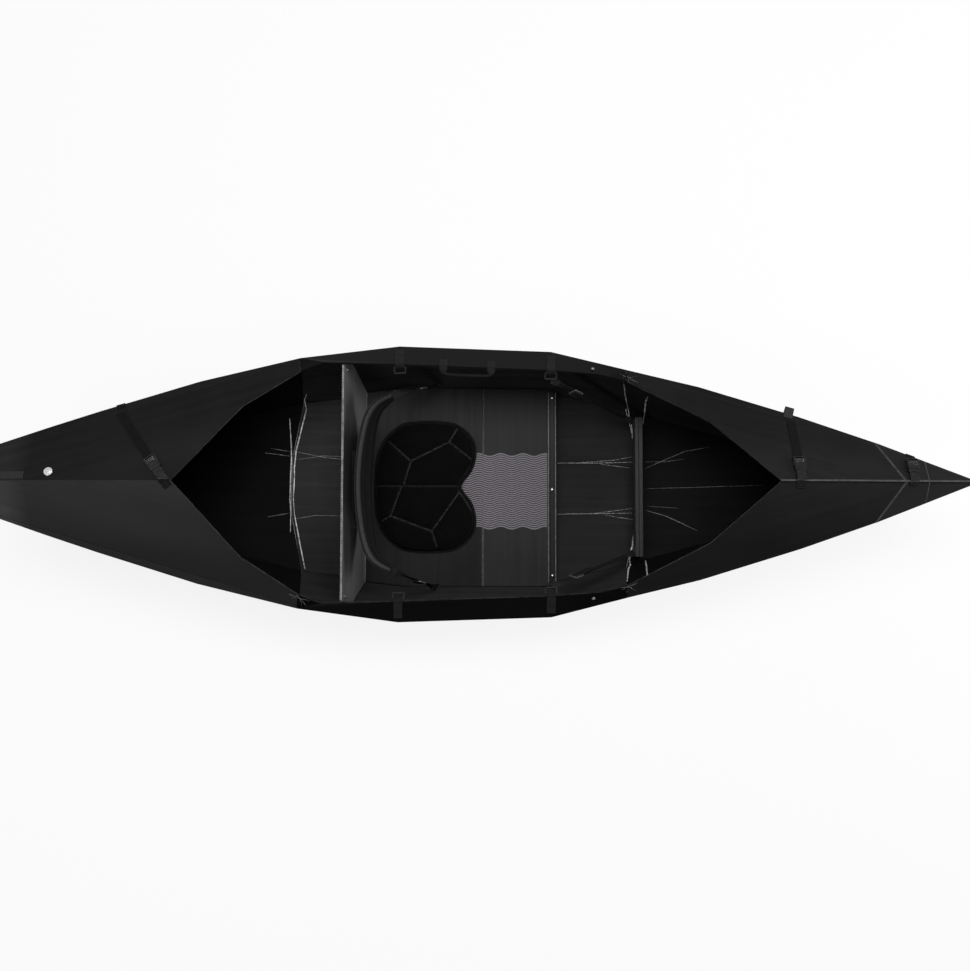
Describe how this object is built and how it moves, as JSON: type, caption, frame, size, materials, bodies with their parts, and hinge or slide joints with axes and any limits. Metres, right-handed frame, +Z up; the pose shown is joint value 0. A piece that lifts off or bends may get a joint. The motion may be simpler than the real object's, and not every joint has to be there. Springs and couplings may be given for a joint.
{
  "type": "folding kayak",
  "caption": "Open-cockpit folding kayak of creased black board, with hinged bow and stern decks, floorboards, lobed seat, strap backrest, footrest and buckled deck straps.",
  "frame": {"origin": "on the ground under the middle of the hull, on the centreline", "axes": "+X towards the bow, +Y to port, +Z up"},
  "size_m": [2.7344, 0.7958, 0.3781],
  "materials": {
    "hull_board": "satin corrugated board",
    "floor_board": "satin corrugated board",
    "foam_cloth": "matt laminated foam",
    "webbing": "woven webbing",
    "moulded_plastic": "moulded",
    "snap_metal": "bright"
  },
  "bodies": {
    "hull": {"hull_side_port": "hull_board", "hull_side_starboard": "hull_board", "gunwale_fold_port": "hull_board", "gunwale_fold_starboard": "hull_board", "bow_side_port": "hull_board", "bow_side_starboard": "hull_board", "bow_nose_deck_port": "hull_board", "bow_nose_deck_starboard": "hull_board", "stern_side_port": "hull_board", "stern_side_starboard": "hull_board", "hull_bottom": "hull_board", "bow_bottom": "hull_board", "stern_bottom": "hull_board", "transom": "hull_board", "floorboard_rear": "floor_board", "rear_panel": "hull_board", "seat_pad": "foam_cloth", "hull_loop_aft_port": "webbing", "hull_loop_aft_starboard": "webbing", "hull_ring_aft_port": "moulded_plastic", "hull_ring_aft_starboard": "moulded_plastic", "hull_loop_fore_port": "webbing", "hull_loop_fore_starboard": "webbing", "hull_ring_fore_port": "moulded_plastic", "hull_ring_fore_starboard": "moulded_plastic", "handle_anchor_aft": "webbing", "handle_anchor_fore": "webbing", "bow_aft_strap_anchor": "webbing", "bow_front_strap_anchor": "webbing", "bow_front_buckle_socket": "moulded_plastic", "bow_front_strap_tab": "webbing", "stern_strap_anchor": "webbing"},
    "bow_port_flap": {"bow_deck_port": "hull_board", "bow_aft_strap": "webbing", "bow_aft_buckle_socket": "moulded_plastic"},
    "bow_starboard_flap": {"bow_deck_starboard": "hull_board", "bow_aft_strap_tab": "webbing"},
    "stern_port_flap": {"stern_deck_port": "hull_board", "stern_strap": "webbing", "stern_buckle_socket": "moulded_plastic", "stern_snap": "snap_metal", "stern_tab": "webbing"},
    "stern_starboard_flap": {"stern_deck_starboard": "hull_board", "stern_strap_tab": "webbing"},
    "front_floor": {"floorboard_front": "floor_board", "floor_rail": "moulded_plastic"},
    "backrest": {"backrest_pad": "foam_cloth", "backrest_strap_port": "webbing", "backrest_strap_starboard": "webbing", "backrest_adjuster_port": "moulded_plastic", "backrest_adjuster_starboard": "moulded_plastic"},
    "footrest": {"footrest_bar": "moulded_plastic", "footrest_strap_port": "webbing", "footrest_strap_starboard": "webbing", "footrest_adjuster_port": "moulded_plastic", "footrest_adjuster_starboard": "moulded_plastic"},
    "handle": {"carry_handle": "webbing"},
    "bow_aft_plug": {"bow_aft_buckle_plug": "moulded_plastic"},
    "bow_front_plug": {"bow_front_buckle_plug": "moulded_plastic"},
    "stern_plug": {"stern_buckle_plug": "moulded_plastic"}
  },
  "joints": [
    {"name": "bow_deck_port_hinge", "type": "hinge", "parent": "hull", "child": "bow_port_flap", "pos_m": [0.75041, 0.21072, 0.29186], "axis": [-0.9537, 0.2918, -0.0727], "range_deg": [0, 110]},
    {"name": "bow_deck_starboard_hinge", "type": "hinge", "parent": "hull", "child": "bow_starboard_flap", "pos_m": [0.75041, -0.21072, 0.29186], "axis": [0.9537, 0.2918, 0.0727], "range_deg": [0, 110]},
    {"name": "stern_deck_port_hinge", "type": "hinge", "parent": "hull", "child": "stern_port_flap", "pos_m": [-0.94644, 0.22107, 0.28167], "axis": [-0.9558, -0.2902, 0.0477], "range_deg": [0, 110]},
    {"name": "stern_deck_starboard_hinge", "type": "hinge", "parent": "hull", "child": "stern_starboard_flap", "pos_m": [-0.94644, -0.22107, 0.28167], "axis": [0.9558, -0.2902, -0.0477], "range_deg": [0, 110]},
    {"name": "floorboard_fold", "type": "hinge", "parent": "hull", "child": "front_floor", "pos_m": [-0.003, 0, 0.05], "axis": [0, -1, 0], "range_deg": [0, 100]},
    {"name": "backrest_swing", "type": "hinge", "parent": "hull", "child": "backrest", "pos_m": [-0.14, 0, 0.075], "axis": [0, 1, 0], "range_deg": [0, 40]},
    {"name": "footrest_lift", "type": "hinge", "parent": "hull", "child": "footrest", "pos_m": [0.191, 0, 0.27], "axis": [0, -1, 0], "range_deg": [0, 30]},
    {"name": "carry_handle_hinge", "type": "hinge", "parent": "hull", "child": "handle", "pos_m": [-0.04817, 0.32239, 0.29769], "axis": [-0.9993, 0.0374, 0], "range_deg": [0, 120]},
    {"name": "bow_aft_buckle_release", "type": "slide", "parent": "bow_port_flap", "child": "bow_aft_plug", "axis": [0.0183, -0.926, 0.3772], "range_m": [0, 0.026]},
    {"name": "bow_front_buckle_release", "type": "slide", "parent": "hull", "child": "bow_front_plug", "axis": [-0.0191, -0.9223, 0.3859], "range_m": [0, 0.026]},
    {"name": "stern_buckle_release", "type": "slide", "parent": "stern_port_flap", "child": "stern_plug", "axis": [0.5881, -0.7636, 0.2666], "range_m": [0, 0.026]}
  ]
}
